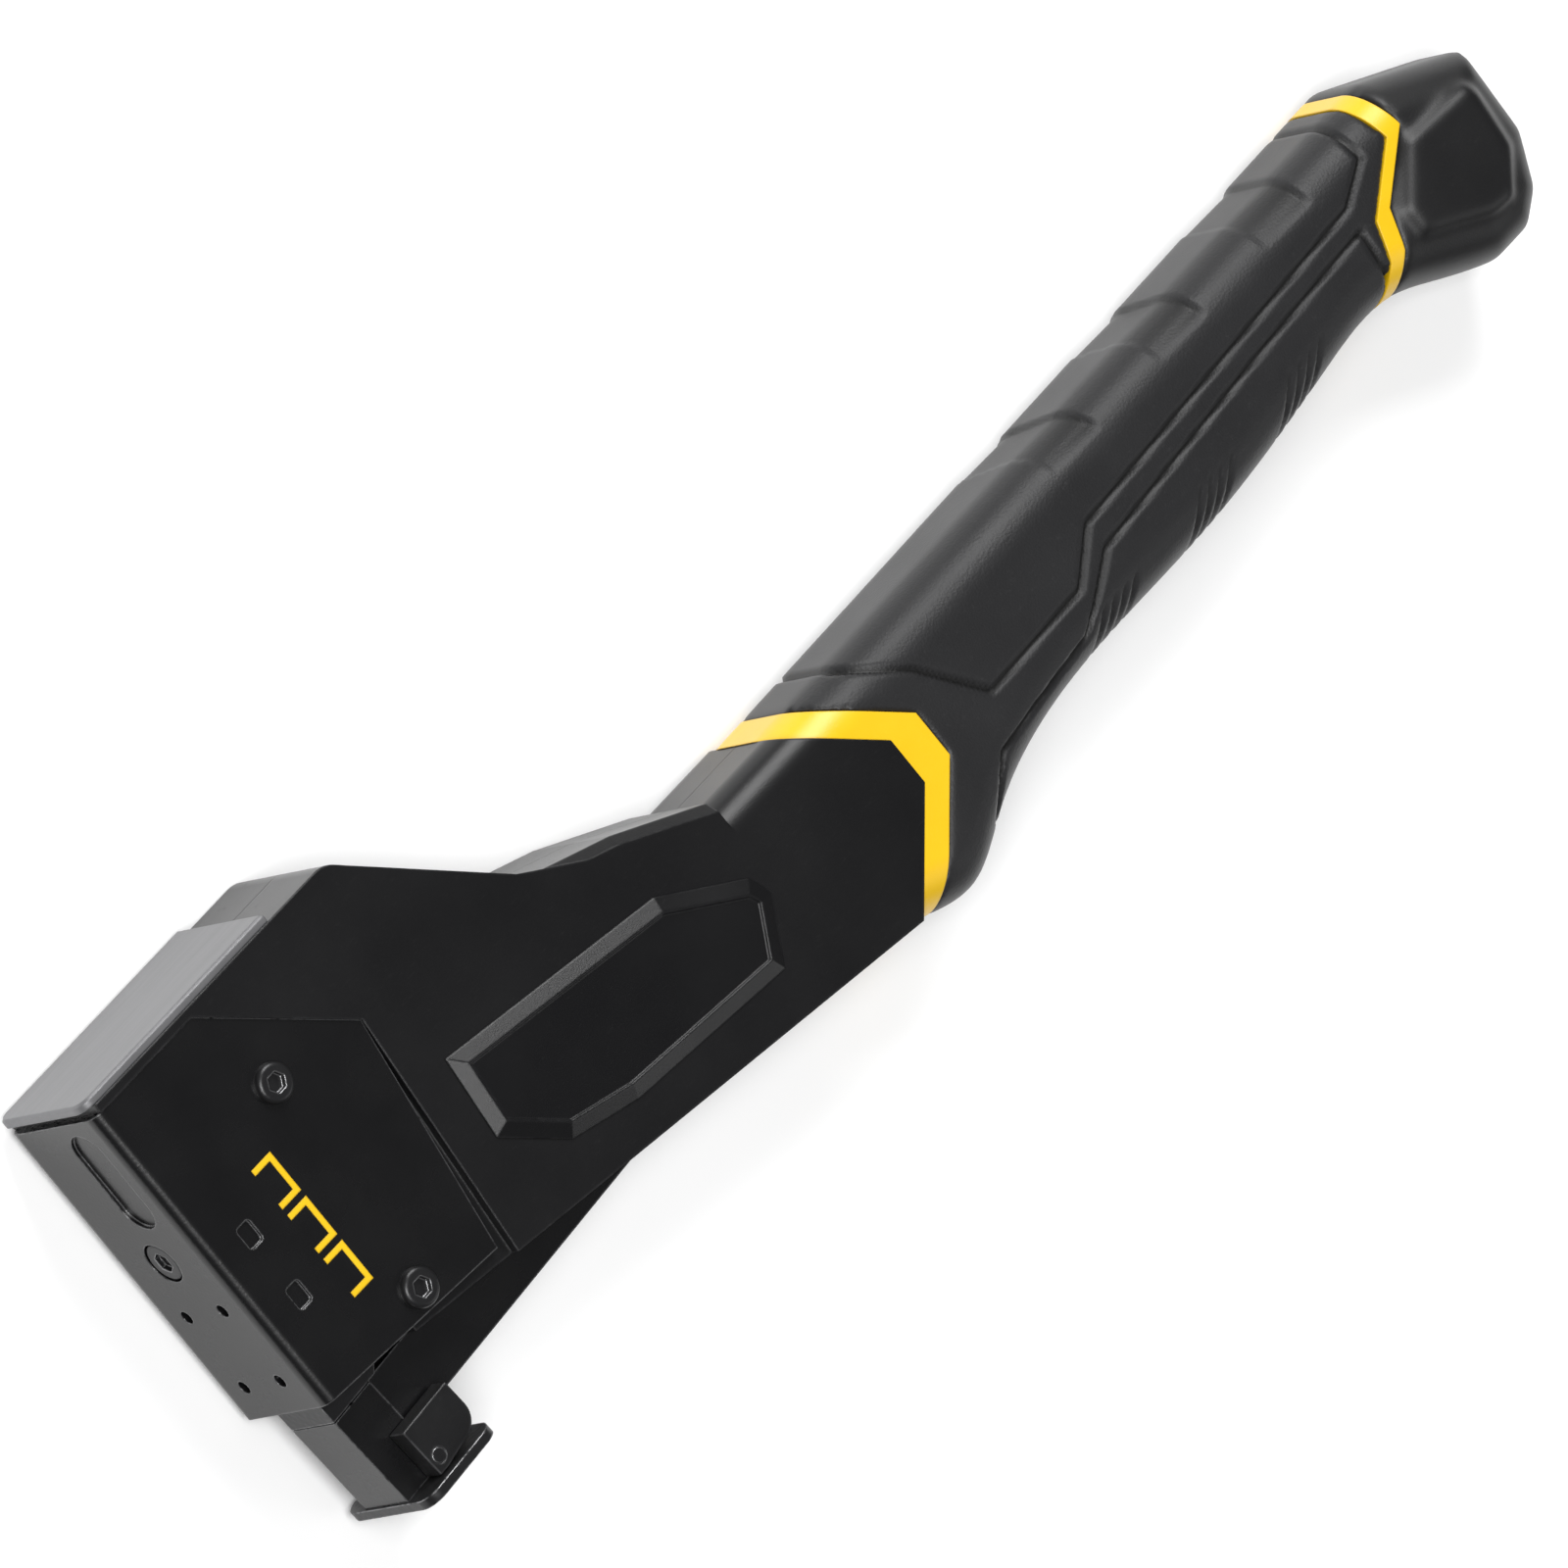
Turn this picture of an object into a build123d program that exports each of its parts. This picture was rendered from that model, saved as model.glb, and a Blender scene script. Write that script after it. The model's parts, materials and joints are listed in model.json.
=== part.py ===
from build123d import *
import os
from math import sin, cos, tan, radians

os.makedirs("parts", exist_ok=True)

# Hammer tacker lying on its far flank. X runs along the handle towards the head's front,
# Y is the direction of the blow, Z is up. Z = 0 is the outer face of the head's far side plate,
# X = 0 the driver blade's line, Y = 0 the handle's centre line.

# Overall sizes
width = 36.0            # across the raised side panels
reach = 341.0           # driver line back to the magazine's hinge pin
axis_drop = 65.0        # head top down to the handle's centre line
head_height = 73.0      # head top down to the mouth, at the front
head_depth = 70.0       # front face back to the head's rear top corner
head_front = 4.0        # driver line forward to the front face
belly_slope = 0.125     # the body's lower edge, per millimetre back
butt_reach = 24.0       # hinge pin back to the end of the butt
top_y = -axis_drop
mouth_y = top_y + head_height
back_x = head_front - head_depth
pivot_x = -reach
pivot_y = -3.0
butt_x = pivot_x - butt_reach


def belly(x):
    """Lower edge of the body at x."""
    return mouth_y + belly_slope * (head_front - x)


# Head frame, cap and flanks
panel_proud = 1.5       # side panel above the flank
frame_inset = 2.0       # frame's outer face below the side panel
frame_thk = 1.8
mid = width / 2 - frame_inset
bench = mid - width / 2
frame_bend = 2.6        # outer bend radius of the frame
cap_thk = 1.8
cap_rise = 0.4          # cap's underside above the head's top
plate_drop = 1.6        # frame's top edge below the head's top
cap_length = 54.0
shell_wall = 2.6        # least wall left under the frame's plates and on top
flank = width / 2 - panel_proud
frame_half = width / 2 - frame_inset
frame_inner = frame_half - frame_thk
shell_front = head_front - frame_thk
head_cavity = frame_inner - 1.8

# Handle
neck_x = -137.0
neck_top = -17.2
neck_round = 7.0        # neck's upper edges
slope_chamfer = 2.0     # the same edges along the shoulder
grip_half = 16.0        # rubber grip, half its width
grip_top = -17.2        # top of the grip at the front ring
rubber = 3.0            # grip thickness over the core
core_half = grip_half - rubber
guard_drop = 33.0       # lowest point of the finger guard under the centre line
waist = 18.6            # lower edge of the grip at its middle
ring_width = 8.0
rear_ring_width = 4.0
butt_wall = 6.0

# Magazine, in its own frame: u along it from the hinge, v with the blow, v = 0 through the hinge
rest_angle = 3.8        # how far it hangs open
channel_half = 7.2
channel_wall = 1.4
channel_top = -6.1
channel_floor = 6.75
channel_roof = 1.0
channel_bottom_wall = 1.2
slot_gap = 1.4          # channel to the slot it swings in, each side
hinge_r = 2.5
hinge_gap = 0.05
stop_x = -150.0

# Staples
crown = 10.6
leg = 10.0
wire_thk = 0.51
wire_width = 1.27
stick_length = 84.0

# Driver
blade_thk = 1.1
blade_half = 4.8
blade_top = -58.0
blade_arc = 0.45        # room in front of the blade for the magazine's arc
block_length = 40.0
block_bottom = -24.0
run_gap = 0.3

# Nose and foot
nose_half = channel_half + 0.8
nose_plate = 0.6        # left in front of the blade's relief
nose_length = 10.0
foot_half = 16.0
foot_thk = 2.0
foot_length = 21.0
foot_top = 15.1
latch_half = 13.5
latch_length = 13.5
latch_drop = 11.0
latch_pin_r = 1.5

# The first staple's front face stands against the nose plate
staple_front = reach - blade_thk / 2 + wire_width - 0.05
nose_front = staple_front + blade_arc + nose_plate
channel_end = staple_front - nose_length - 0.3
rail_front = staple_front - wire_width - 0.13
stick_front = staple_front - wire_width     # the chamber under the blade is empty
crown_top = channel_floor - channel_bottom_wall - run_gap - leg
blade_tip = foot_top + foot_thk + pivot_y


def magazine_plane(offset=0.0):
    """Side plane of the magazine at its rest angle, offset from the middle of the tool."""
    turn = radians(rest_angle)
    return Plane(
        origin=(pivot_x, pivot_y, mid + offset),
        x_dir=(cos(turn), sin(turn), 0),
        z_dir=(0, 0, 1),
    )


def along_magazine(u, v):
    """Plane across the magazine at u and v, facing its front."""
    flat = magazine_plane()
    return Plane(origin=flat.from_local_coords((u, v, 0)), x_dir=(0, 0, 1), z_dir=flat.x_dir)


def save(piece, name):
    """Label one finished piece and write it."""
    piece.part.label = name
    export_step(piece.part, f"parts/{name}.step")


def outline(points):
    """Closed face through the points, in the current sketch."""
    Polygon(*points, align=None)


def bar(u0, u1, v0, v1):
    """Rectangle between two corners, in the current sketch."""
    with Locations(((u0 + u1) / 2, (v0 + v1) / 2)):
        Rectangle(u1 - u0, v1 - v0)


# Shared outlines, in X and Y
shell_top = top_y - cap_rise
neck_end = -190.0       # past the front ring, cut back to its outline
shoulder = [(-96.0, -36.5), (-102.0, -32.8), (-117.0, -27.8), (neck_x, neck_top - 1.2)]
head_outline = (
    [(shell_front, shell_top), (back_x, shell_top)]
    + shoulder
    + [(neck_x, belly(neck_x)), (shell_front, belly(shell_front))]
)
plate_outline = [
    (head_front, top_y + plate_drop),
    (head_front - 29.0, top_y + plate_drop),
    (head_front - 56.0, top_y + 26.0),
    (head_front - 48.0, belly(head_front - 48.0) - 3.0),
    (head_front, mouth_y),
]
ring_top = -157.0
ring_apex = -174.5
apex_top = -1.0         # the apex is flat between these two heights
apex_bottom = 9.5
ring_bottom = -156.0
over = 60.0             # past the handle, above and below


def chevron(shift):
    """Points down the front yellow ring's edge, moved back by shift."""
    top = ring_top - shift
    rise = (ring_top - ring_apex) / (apex_top - grip_top)
    fall = (ring_bottom - ring_apex) / (belly(ring_bottom) - apex_bottom)
    return [
        (top + rise * (over + grip_top), -over),
        (ring_apex - shift, apex_top),
        (ring_apex - shift, apex_bottom),
        (ring_apex - shift + fall * (over - apex_bottom), over),
    ]


def zigzag(shift):
    """Points down the rear ring's edge, from the butt side, moved forward by shift."""
    steps = [(1.0, -over), (1.0, grip_top - 3.3), (0.0, -11.0), (13.0, -1.0), (16.0, 7.0), (21.0, 13.0)]
    points = [(pivot_x + dx + shift, y) for dx, y in steps]
    return points + [(pivot_x + 21.0 + shift, over)]


skin_round = 10.0       # rounding along the handle's four long edges
body_start = ring_top + 11.0


def slot_floor(x):
    """Floor of the magazine's slot under its rest position."""
    return pivot_y + (x - pivot_x) * tan(radians(rest_angle)) + channel_floor + 1.0


def under_slot(x, wall):
    """Skin at x, below the slot by a wall and the rubber."""
    return slot_floor(x) + wall + rubber


def handle_body(inset, end):
    """Handle and butt up to their end plane, the skin moved inwards by inset."""
    low = [
        (body_start, guard_drop - 6.0),
        (-160.0, guard_drop - 3.0),
        (-172.0, guard_drop),
        (-186.0, guard_drop - 5.7),
        (-203.0, under_slot(-203.0, 4.484)),
        (-257.0, under_slot(-257.0, 5.271)),
        (pivot_x + 41.0, waist - 4.4),
        (pivot_x + 20.0, waist - 4.6),
        (pivot_x + 10.0, waist - 0.1),
        (pivot_x - 2.0, waist + 5.4),
    ]
    rear = [
        (butt_x + 13.0, waist + 5.4),
        (butt_x + 6.5, waist + 0.9),
        (butt_x + 1.0, 9.0),
        (butt_x, -10.0),
        (pivot_x - 2.0, grip_top - 3.1),
    ]
    low = [(x, y - inset) for x, y in low]
    rear = [(x, y - inset if y > 0 else y + inset) for x, y in rear]
    with BuildPart() as body:
        with BuildSketch(Plane.XY.offset(mid - grip_half + inset)):
            with BuildLine():
                Spline(*low)
                Polyline(low[-1], *rear, (body_start, grip_top + inset), low[0])
            make_face()
        extrude(amount=2 * (grip_half - inset))
        rims = body.edges().filter_by(lambda e: abs(e.tangent_at(0.5).Z) < 0.5)
        fillet(rims.filter_by(lambda e: e.center().X < body_start - 1.0), radius=skin_round - inset)
        if end > butt_x:
            with BuildSketch(Plane.XY.offset(bench)):
                bar(butt_x - 5.0, end, -over, over)
            extrude(amount=width, mode=Mode.SUBTRACT)
    return body.part


envelope = handle_body(0.0, butt_x)
core = handle_body(rubber, butt_x + butt_wall)

# Fasteners and pins that the shells are cut for
boss_spots = [(-60.0, -52.0), (-88.0, -20.0), (-122.0, -15.5), (-172.0, 23.0), (pivot_x + 7.0, 10.0)]
screw_shank = 1.5
screw_head = 2.8
head_spots = [(head_front - 33.5, top_y + 22.0), (head_front - 30.0, top_y + 70.0)]

screw_head_thk = 2.2
screw_seat = 1.0        # screw head's depth below the far flank
screw_bite = 5.0        # reach into the near shell


def screw_floor(x):
    """Outer face of the far shell at x."""
    return mid - (flank if x > neck_x else core_half)


with BuildPart() as housing_screws:
    for x, y in boss_spots:
        seat = Plane.XY.offset(screw_floor(x) + screw_seat)
        with BuildSketch(seat):
            with Locations((x, y)):
                Circle(screw_head)
        extrude(amount=screw_head_thk)
        with BuildSketch(seat):
            with Locations((x, y)):
                Circle(screw_shank)
        extrude(amount=mid - screw_floor(x) - screw_seat + screw_bite)
        with BuildSketch(seat):
            with Locations((x, y)):
                RegularPolygon(1.3, 6)
        extrude(amount=1.3, mode=Mode.SUBTRACT)
save(housing_screws, "housing_screws")

butt_head_r = 4.0
butt_head_thk = 2.5
butt_shank_r = 2.0
butt_seat = 1.5         # screw head's depth below the butt's end
with BuildPart() as butt_screw:
    with BuildSketch(Plane.YZ.offset(butt_x + butt_seat)):
        with Locations((-3.0, mid)):
            Circle(butt_head_r)
    extrude(amount=butt_head_thk)
    with BuildSketch(Plane.YZ.offset(butt_x + butt_seat)):
        with Locations((-3.0, mid)):
            Circle(butt_shank_r)
    extrude(amount=butt_wall + 3.0)
    with BuildSketch(Plane.YZ.offset(butt_x + butt_seat)):
        with Locations((-3.0, mid)):
            RegularPolygon(1.8, 6)
    extrude(amount=1.6, mode=Mode.SUBTRACT)
save(butt_screw, "butt_screw")

with BuildPart() as pivot_pin:
    with BuildSketch(Plane.XY.offset(mid - core_half)):
        with Locations((pivot_x, pivot_y)):
            Circle(hinge_r)
    extrude(amount=2 * core_half)
    chamfer(pivot_pin.edges().filter_by(GeomType.CIRCLE), length=0.4)
save(pivot_pin, "pivot_pin")

below_hinge = channel_floor + hinge_r + hinge_gap
stop_y = pivot_y + (stop_x - pivot_x) * tan(radians(rest_angle)) + below_hinge / cos(radians(rest_angle))
with BuildPart() as stop_pin:
    with BuildSketch(Plane.XY.offset(mid - core_half)):
        with Locations((stop_x, stop_y)):
            Circle(hinge_r)
    extrude(amount=2 * core_half)
save(stop_pin, "stop_pin")

front_screw_y = top_y + 35.5
front_screw_r = 4.6
head_screw_r = 2.0

# Screws that hold the frame's sides: heads stand proud on the near side, flush on the far side
head_screw_head = 4.1
head_screw_thk = 1.7
with BuildPart() as head_screws:
    near = mid + frame_half
    far = mid - frame_half + 0.1
    for (x, y), depth in zip(head_spots, (12.0, 5.0)):
        for face, reach_in in ((near, -depth), (far, depth + head_screw_thk)):
            with BuildSketch(Plane.XY.offset(face)):
                with Locations((x, y)):
                    Circle(head_screw_head)
            extrude(amount=head_screw_thk)
            with BuildSketch(Plane.XY.offset(face)):
                with Locations((x, y)):
                    Circle(head_screw_r)
            extrude(amount=reach_in)
        with BuildSketch(Plane.XY.offset(near + 0.4)):
            with Locations((x, y)):
                RegularPolygon(2.1, 6)
        extrude(amount=head_screw_thk, mode=Mode.SUBTRACT)
        with BuildSketch(Plane.XY.offset(far)):
            with Locations((x, y)):
                RegularPolygon(1.9, 6)
        extrude(amount=head_screw_thk - 0.4, mode=Mode.SUBTRACT)
    rims = head_screws.edges().filter_by(GeomType.CIRCLE).filter_by(
        lambda e: abs(e.radius - head_screw_head) < 0.01
    )
    fillet(rims.sort_by(Axis.Z)[-2:], radius=1.1)
save(head_screws, "head_screws")

with BuildPart() as front_screw:
    with BuildSketch(Plane.YZ.offset(shell_front)):
        with Locations((front_screw_y, mid)):
            Circle(front_screw_r - 0.1)
    extrude(amount=1.6)
    fillet(front_screw.edges().sort_by(Axis.X)[-1], radius=0.8)
    with BuildSketch(Plane.YZ.offset(shell_front + 0.4)):
        with Locations((front_screw_y, mid)):
            RegularPolygon(2.3, 6)
    extrude(amount=2.0, mode=Mode.SUBTRACT)
    with BuildSketch(Plane.YZ.offset(shell_front)):
        with Locations((front_screw_y, mid)):
            Circle(2.4)
    extrude(amount=-10.0)
save(front_screw, "front_screw")

# Both shells in one, before they are parted
slot_half = channel_half + slot_gap
slot_top = pivot_y + channel_top - 1.5
slot_rear = pivot_x - 8.0


# Neck from the shoulder back to the front ring's edge
with BuildPart() as neck:
    with BuildSketch(Plane.XY.offset(mid - flank)):
        outline([
            (neck_x, neck_top),
            (neck_end, neck_top),
            (neck_end, belly(neck_end)),
            (neck_x, belly(neck_x)),
        ])
    extrude(amount=2 * flank)
    fillet(
        neck.edges().filter_by(Axis.X).filter_by(lambda e: e.center().Y < neck_top + 0.1),
        radius=neck_round,
    )
    with BuildSketch(Plane.XY.offset(bench)):
        outline(chevron(0.0) + [(neck_end - 5.0, over), (neck_end - 5.0, -over)])
    extrude(amount=width, mode=Mode.SUBTRACT)

mouth_rear = channel_end - 10.0 - reach
with BuildPart() as shell:
    with BuildSketch(Plane.XY.offset(mid - flank)):
        outline(head_outline)
    extrude(amount=2 * flank)
    neck_edges = shell.edges().filter_by(
        lambda e: abs(e.tangent_at(0.5).Z) < 0.5
        and neck_x < e.center().X < -105.0
        and e.center().Y < 0
        and abs(e.center().Z - mid) > 1.0
    )
    chamfer(neck_edges, length=slope_chamfer)
    fillet(
        shell.edges().filter_by(Axis.Z).filter_by(
            lambda e: abs(e.center().X - back_x) < 0.5 and e.center().Y < top_y
        ),
        radius=6.0,
    )
    add(neck.part)
    add(core)
    # head's hollow
    with BuildSketch(Plane.XY.offset(mid - head_cavity)):
        outline([
            (shell_front + 1.0, top_y + shell_wall),
            (back_x + 2.5, top_y + shell_wall),
            (-93.0, -32.5),
            (-99.0, -28.5),
            (-108.0, slot_top),
            (-108.0, belly(-108.0) - 4.5),
            (shell_front + 1.0, belly(shell_front) - 3.0),
        ])
    extrude(amount=2 * head_cavity, mode=Mode.SUBTRACT)
    # slot the magazine swings in, open along the belly
    with BuildSketch(Plane.XY.offset(mid - slot_half)):
        outline([
            (slot_rear, slot_top),
            (shell_front + 1.0, slot_top),
            (shell_front + 1.0, 40.0),
            (-96.0, 40.0),
            (-96.0, slot_floor(-96.0)),
            (slot_rear, slot_floor(slot_rear)),
        ])
    extrude(amount=2 * slot_half, mode=Mode.SUBTRACT)
    # wider mouth for the latch block
    with BuildSketch(Plane.XY.offset(mid - frame_inner)):
        bar(mouth_rear - 1.2, shell_front + 1.0, -14.0, 40.0)
    extrude(amount=2 * frame_inner, mode=Mode.SUBTRACT)
    # rib over the return spring, and posts for screws
    for side in (-1, 1):
        with BuildSketch(Plane.XY.offset(mid)):
            bar(-84.0, -68.0, -29.0, -25.0)
        extrude(amount=side * (head_cavity + 0.5))
    posts = [spot for spot in boss_spots if spot[0] > neck_x]
    with BuildSketch(Plane.XY.offset(mid - head_cavity - 0.5)):
        with Locations(*posts[:2]):
            Circle(4.2)
    extrude(amount=2 * head_cavity + 1.0)
    with BuildSketch(Plane.XY.offset(mid - head_cavity - 0.5)):
        with Locations(head_spots[1]):
            Circle(4.2)
    extrude(amount=head_cavity - slot_half - 0.5)
    with BuildSketch(Plane.XY.offset(mid + slot_half + 1.0)):
        with Locations(head_spots[1]):
            Circle(4.2)
    extrude(amount=head_cavity - slot_half - 0.5)
    # seats for the frame's side plates and the side panels
    for side in (-1, 1):
        with BuildSketch(Plane.XY.offset(mid + side * frame_inner)):
            outline(plate_outline[:3] + [(plate_outline[3][0], 40.0), (head_front, 40.0)])
        extrude(amount=side * 10.0, mode=Mode.SUBTRACT)

# Holes for the fasteners and pins that both shells hold
with BuildPart() as shell_holes:
    for x, y in boss_spots:
        with BuildSketch(Plane.XY.offset(screw_floor(x) - 1.0)):
            with Locations((x, y)):
                Circle(screw_head)
        extrude(amount=1.0 + screw_seat + screw_head_thk)
        with BuildSketch(Plane.XY.offset(screw_floor(x) - 1.0)):
            with Locations((x, y)):
                Circle(screw_shank)
        extrude(amount=mid - screw_floor(x) + 1.0 + screw_bite)
    with BuildSketch(Plane.XY.offset(mid - core_half - 1.0)):
        with Locations((pivot_x, pivot_y)):
            Circle(hinge_r)
    extrude(amount=2 * core_half + 2.0)
    with BuildSketch(Plane.XY.offset(mid - core_half)):
        with Locations((stop_x, stop_y)):
            Circle(hinge_r)
    extrude(amount=2 * core_half)
    with BuildSketch(Plane.XY.offset(bench)):
        with Locations(*head_spots):
            Circle(head_screw_r)
    extrude(amount=width)
    with BuildSketch(Plane.YZ.offset(butt_x)):
        with Locations((-3.0, mid)):
            Circle(butt_shank_r)
    extrude(amount=butt_seat + butt_wall + 3.0)

with BuildPart() as housing_far:
    add(shell.part)
    split(bisect_by=Plane.XY.offset(mid), keep=Keep.BOTTOM)
    add(shell_holes.part, mode=Mode.SUBTRACT)

with BuildPart() as housing_near:
    add(shell.part)
    split(bisect_by=Plane.XY.offset(mid), keep=Keep.TOP)
    add(shell_holes.part, mode=Mode.SUBTRACT)

# Head frame: one bent steel plate over both flanks and the front
hole_spacing_z = 13.6
hole_spacing_y = 17.5
hole_top_y = top_y + 48.2
with BuildPart() as head_frame:
    with BuildSketch(Plane.XY.offset(mid - frame_half)):
        outline(plate_outline)
    extrude(amount=2 * frame_half)
    fillet(
        head_frame.edges().filter_by(Axis.Y).filter_by(lambda e: e.center().X > head_front - 0.1),
        radius=frame_bend,
    )
    with BuildSketch(Plane.XY.offset(mid - frame_inner)):
        bar(-90.0, shell_front, top_y - 5.0, 40.0)
    extrude(amount=2 * frame_inner, mode=Mode.SUBTRACT)
    # screw holes through both sides, wide on the far one for the flush heads
    with BuildSketch(Plane.XY.offset(bench)):
        with Locations(*head_spots):
            Circle(head_screw_r)
    extrude(amount=width, mode=Mode.SUBTRACT)
    with BuildSketch(Plane.XY.offset(bench)):
        with Locations(*head_spots):
            Circle(head_screw_head)
    extrude(amount=frame_inset + frame_thk, mode=Mode.SUBTRACT)
    # shallow dimples on both sides
    for side in (-1, 1):
        with BuildSketch(Plane.XY.offset(mid + side * (frame_half - 0.7))):
            with Locations((-6.0, top_y + 39.0), (-6.0, top_y + 54.0)):
                RectangleRounded(3.6, 5.0, 0.8)
        extrude(amount=side * 2.0, mode=Mode.SUBTRACT)
    # front face: long recess, screw opening and four small holes
    with BuildSketch(Plane.YZ.offset(head_front - 0.9)):
        with Locations((top_y + 16.0, mid + 5.4)):
            SlotOverall(23.0, 9.6)
    extrude(amount=3.0, mode=Mode.SUBTRACT)
    with BuildSketch(Plane.YZ.offset(shell_front - 1.0)):
        with Locations((front_screw_y, mid)):
            Circle(front_screw_r)
        with Locations((hole_top_y + hole_spacing_y / 2, mid)):
            with GridLocations(hole_spacing_y, hole_spacing_z, 2, 2):
                Circle(1.5)
    extrude(amount=5.0, mode=Mode.SUBTRACT)
save(head_frame, "head_frame")
save(housing_near, "housing_near")
save(housing_far, "housing_far")

with BuildPart() as top_cap:
    with BuildSketch(Plane.XY.offset(mid - frame_half)):
        bar(head_front - cap_length, head_front + 0.6, shell_top - cap_thk, shell_top)
    extrude(amount=2 * frame_half)
    fillet(
        top_cap.edges().filter_by(Axis.Y).filter_by(lambda e: e.center().X > head_front),
        radius=3.2,
    )
    chamfer(top_cap.faces().sort_by(Axis.Y)[0].edges(), length=0.5)
save(top_cap, "top_cap")

panel_outline = [(-60.0, -22.0), (-115.0, -14.0), (-133.0, -3.0), (-135.0, 2.0), (-127.0, 14.5),
                 (-86.0, 11.0), (-70.0, 7.0), (-58.0, -4.0)]
for side, name in ((1, "side_panel_near"), (-1, "side_panel_far")):
    with BuildPart() as side_panel:
        with BuildSketch(Plane.XY.offset(mid + side * flank)):
            outline(panel_outline)
        extrude(amount=side * panel_proud)
        with BuildSketch(Plane.XY.offset(mid + side * (width / 2 - 0.5))):
            outline(panel_outline)
            offset(amount=-3.6, kind=Kind.INTERSECTION, mode=Mode.REPLACE)
        extrude(amount=side * 1.0, mode=Mode.SUBTRACT)
        outer = side_panel.faces().filter_by(Axis.Z).sort_by(Axis.Z)[-1 if side > 0 else 0]
        chamfer(outer.outer_wire().edges(), length=1.2)
    save(side_panel, name)

# Yellow rings, grip and butt, all cut from the envelope around the core
with BuildPart() as front_ring:
    add(envelope)
    with BuildSketch(Plane.XY.offset(bench)):
        outline(chevron(0.0) + chevron(ring_width)[::-1])
    extrude(amount=width, mode=Mode.INTERSECT)
    add(core, mode=Mode.SUBTRACT)
save(front_ring, "front_ring")

with BuildPart() as grip_sleeve:
    add(envelope)
    with BuildSketch(Plane.XY.offset(bench)):
        outline(chevron(ring_width) + zigzag(rear_ring_width)[::-1])
    extrude(amount=width, mode=Mode.INTERSECT)
    add(core, mode=Mode.SUBTRACT)
save(grip_sleeve, "grip_sleeve")

with BuildPart() as rear_ring:
    add(envelope)
    with BuildSketch(Plane.XY.offset(bench)):
        outline(zigzag(0.0) + zigzag(rear_ring_width)[::-1])
    extrude(amount=width, mode=Mode.INTERSECT)
    add(core, mode=Mode.SUBTRACT)
save(rear_ring, "rear_ring")

# Flat pads on the butt's flanks, level with the side panels
pad_outline = [
    (pivot_x + 2.0, -9.0),
    (butt_x + 8.0, -8.0),
    (butt_x + 6.5, -5.0),
    (butt_x + 8.0, 8.0),
    (pivot_x - 9.0, 16.0),
    (pivot_x - 3.0, 15.5),
    (pivot_x + 12.0, 8.0),
    (pivot_x + 12.0, 1.0),
]
with BuildPart() as butt_pads:
    for side in (-1, 1):
        with BuildSketch(Plane.XY.offset(mid + side * (grip_half - 2.0))):
            outline(pad_outline)
        extrude(amount=side * (width / 2 - grip_half + 2.0))
    for face in (butt_pads.faces().sort_by(Axis.Z)[0], butt_pads.faces().sort_by(Axis.Z)[-1]):
        chamfer(face.outer_wire().edges(), length=1.9)

with BuildPart() as butt_cap:
    add(envelope)
    with BuildSketch(Plane.XY.offset(bench)):
        outline(zigzag(0.0) + [(butt_x - 10.0, over), (butt_x - 10.0, -over)])
    extrude(amount=width, mode=Mode.INTERSECT)
    add(butt_pads.part)
    add(core, mode=Mode.SUBTRACT)
    # seat and hole of the screw
    with BuildSketch(Plane.YZ.offset(butt_x - 3.0)):
        with Locations((-3.0, mid)):
            Circle(butt_head_r)
    extrude(amount=3.0 + butt_seat + butt_head_thk, mode=Mode.SUBTRACT)
    with BuildSketch(Plane.YZ.offset(butt_x)):
        with Locations((-3.0, mid)):
            Circle(butt_shank_r)
    extrude(amount=butt_wall + 1.0, mode=Mode.SUBTRACT)
save(butt_cap, "butt_cap")

# Driver: the blade in its block
block_top = top_y + shell_wall + 0.3
pin_ys = (front_screw_y - 14.0, front_screw_y - 22.0)
with BuildPart() as driver_pins:
    for y in pin_ys:
        with BuildSketch(Plane.YZ.offset(shell_front - 0.4)):
            with Locations((y, mid)):
                Circle(1.6)
        extrude(amount=-12.0)
save(driver_pins, "driver_pins")

with BuildPart() as driver_blade:
    with BuildSketch(Plane.XY.offset(mid - blade_half)):
        bar(-blade_thk / 2, blade_thk / 2, blade_top, blade_tip)
    extrude(amount=2 * blade_half)
    add(driver_pins.part, mode=Mode.SUBTRACT)
    add(front_screw.part, mode=Mode.SUBTRACT)
save(driver_blade, "driver_blade")

with BuildPart() as driver_block:
    with BuildSketch(Plane.XY.offset(mid - head_cavity + 0.2)):
        bar(shell_front - 0.3 - block_length, shell_front - 0.3, block_top, block_bottom)
    extrude(amount=2 * head_cavity - 0.4)
    chamfer(driver_block.edges().filter_by(Axis.Z).sort_by(Axis.X)[:2], length=3.0)
    with BuildSketch(Plane.XY.offset(mid - blade_half)):
        bar(-blade_thk / 2, blade_thk / 2, blade_top, 0.0)
    extrude(amount=2 * blade_half, mode=Mode.SUBTRACT)
    add(driver_pins.part, mode=Mode.SUBTRACT)
    add(front_screw.part, mode=Mode.SUBTRACT)
    add(head_screws.part, mode=Mode.SUBTRACT)
save(driver_block, "driver_block")

bumper_rear = shell_front - 0.3 - block_length + 3.5
with BuildPart() as bumper:
    with BuildSketch(Plane.XY.offset(mid - slot_half + 1.0)):
        bar(bumper_rear, bumper_rear + 18.0, block_bottom, pivot_y + channel_top - 0.4)
    extrude(amount=2 * slot_half - 2.0)
    fillet(bumper.edges().filter_by(Axis.Z).sort_by(Axis.Y)[-2:], radius=3.0)
save(bumper, "bumper")

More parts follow.
